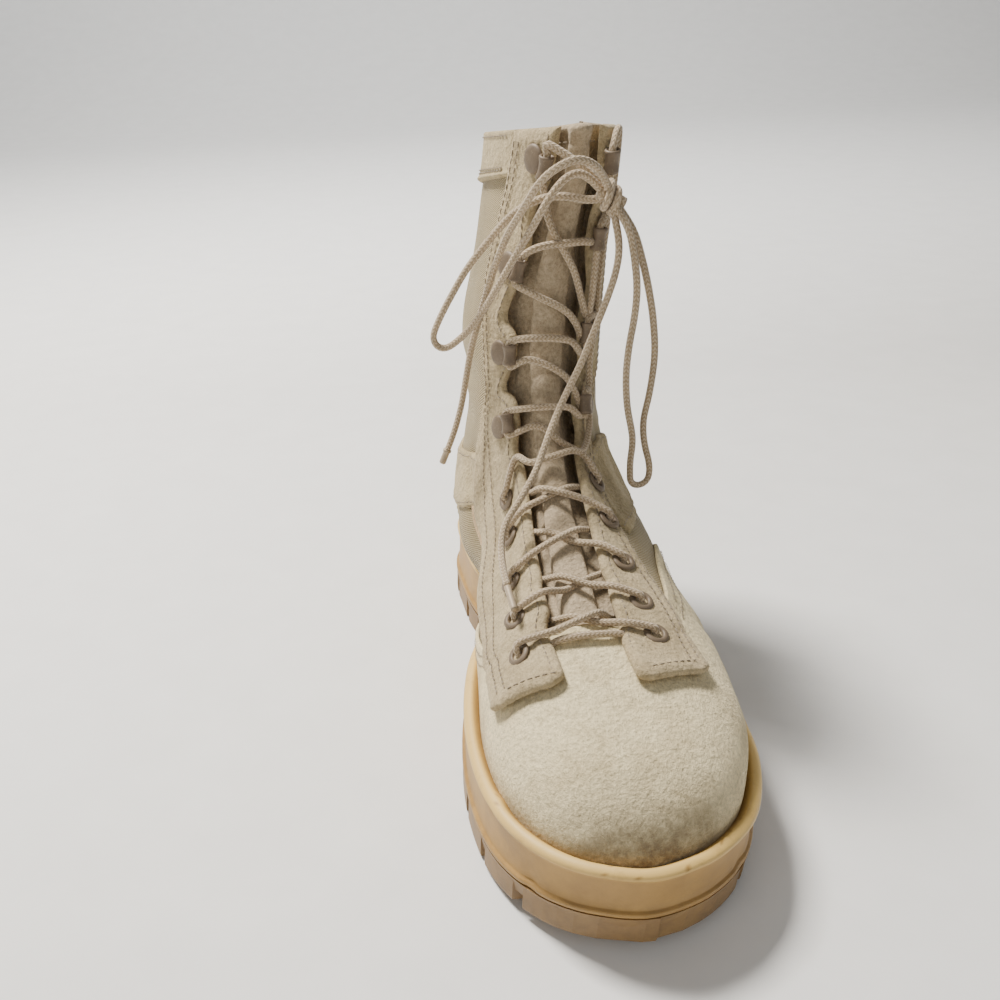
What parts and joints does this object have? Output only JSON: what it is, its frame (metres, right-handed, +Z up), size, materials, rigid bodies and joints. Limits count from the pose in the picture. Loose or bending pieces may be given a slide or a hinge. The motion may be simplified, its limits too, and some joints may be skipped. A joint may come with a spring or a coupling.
{
  "type": "combat boot",
  "caption": "Left hot-weather combat boot with a hollow suede and nylon upper, tongue, insole and moulded cup sole with a lugged outsole.",
  "frame": {"origin": "on the ground under the middle of the heel", "axes": "+Y toward the heel and -Y toward the toe, +X toward the outer side of the foot, +Z up"},
  "size_m": [0.1204, 0.3064, 0.2407],
  "materials": {
    "suede": "napped rough-out",
    "nylon": "ribbed weave",
    "cup_rubber": "satin moulded",
    "tread_rubber": "matte worn",
    "sock": "matte",
    "hardware": "matte taupe paint",
    "lace": "braided",
    "lace_tip": "glossy"
  },
  "bodies": {
    "root": {"outsole": "tread_rubber", "midsole": "cup_rubber", "insole": "sock", "upper": "nylon", "tongue": "suede", "vamp": "suede", "counter": "suede", "backstay": "suede", "collar_band": "suede", "facing_inner": "suede", "facing_outer": "suede", "eyelet_inner_1": "hardware", "eyelet_inner_2": "hardware", "eyelet_inner_3": "hardware", "eyelet_inner_4": "hardware", "eyelet_inner_5": "hardware", "eyelet_outer_1": "hardware", "eyelet_outer_2": "hardware", "eyelet_outer_3": "hardware", "eyelet_outer_4": "hardware", "eyelet_outer_5": "hardware", "hook_inner_1": "hardware", "hook_inner_2": "hardware", "hook_inner_3": "hardware", "hook_inner_4": "hardware", "hook_outer_1": "hardware", "hook_outer_2": "hardware", "hook_outer_3": "hardware", "hook_outer_4": "hardware", "lace_crossings": "lace", "knot": "lace", "loop_left": "lace", "loop_right": "lace", "lace_end_left": "lace", "lace_end_right": "lace", "aglet": "lace_tip"}
  },
  "joints": []
}
